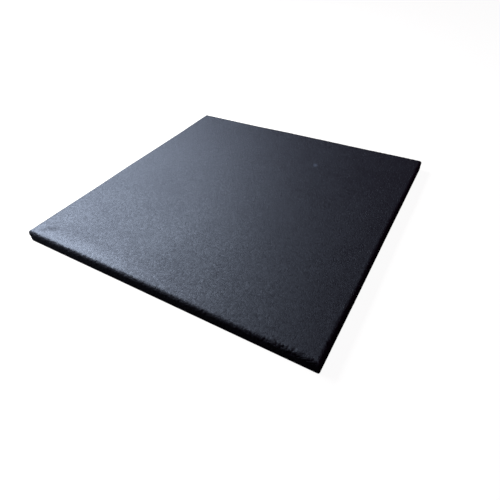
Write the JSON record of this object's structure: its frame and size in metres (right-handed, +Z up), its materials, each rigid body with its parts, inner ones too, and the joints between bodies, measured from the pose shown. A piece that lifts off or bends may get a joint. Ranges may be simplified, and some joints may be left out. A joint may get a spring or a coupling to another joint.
{
  "type": "rubber mat",
  "caption": "Square floor mat of pressed black rubber with rounded corners, a soft round top edge, upright sides that butt to the next mat and a flat underside.",
  "frame": {"origin": "centre of the flat underside, on the floor", "axes": "+Z up through the thickness, +X and +Y along the sides, the front side towards -Y"},
  "size_m": [0.5, 0.5, 0.02],
  "materials": {
    "black_rubber": "satin black pressed rubber with a fine grain and faint clouding"
  },
  "bodies": {
    "root": {"rubber_mat": "black_rubber"}
  },
  "joints": []
}
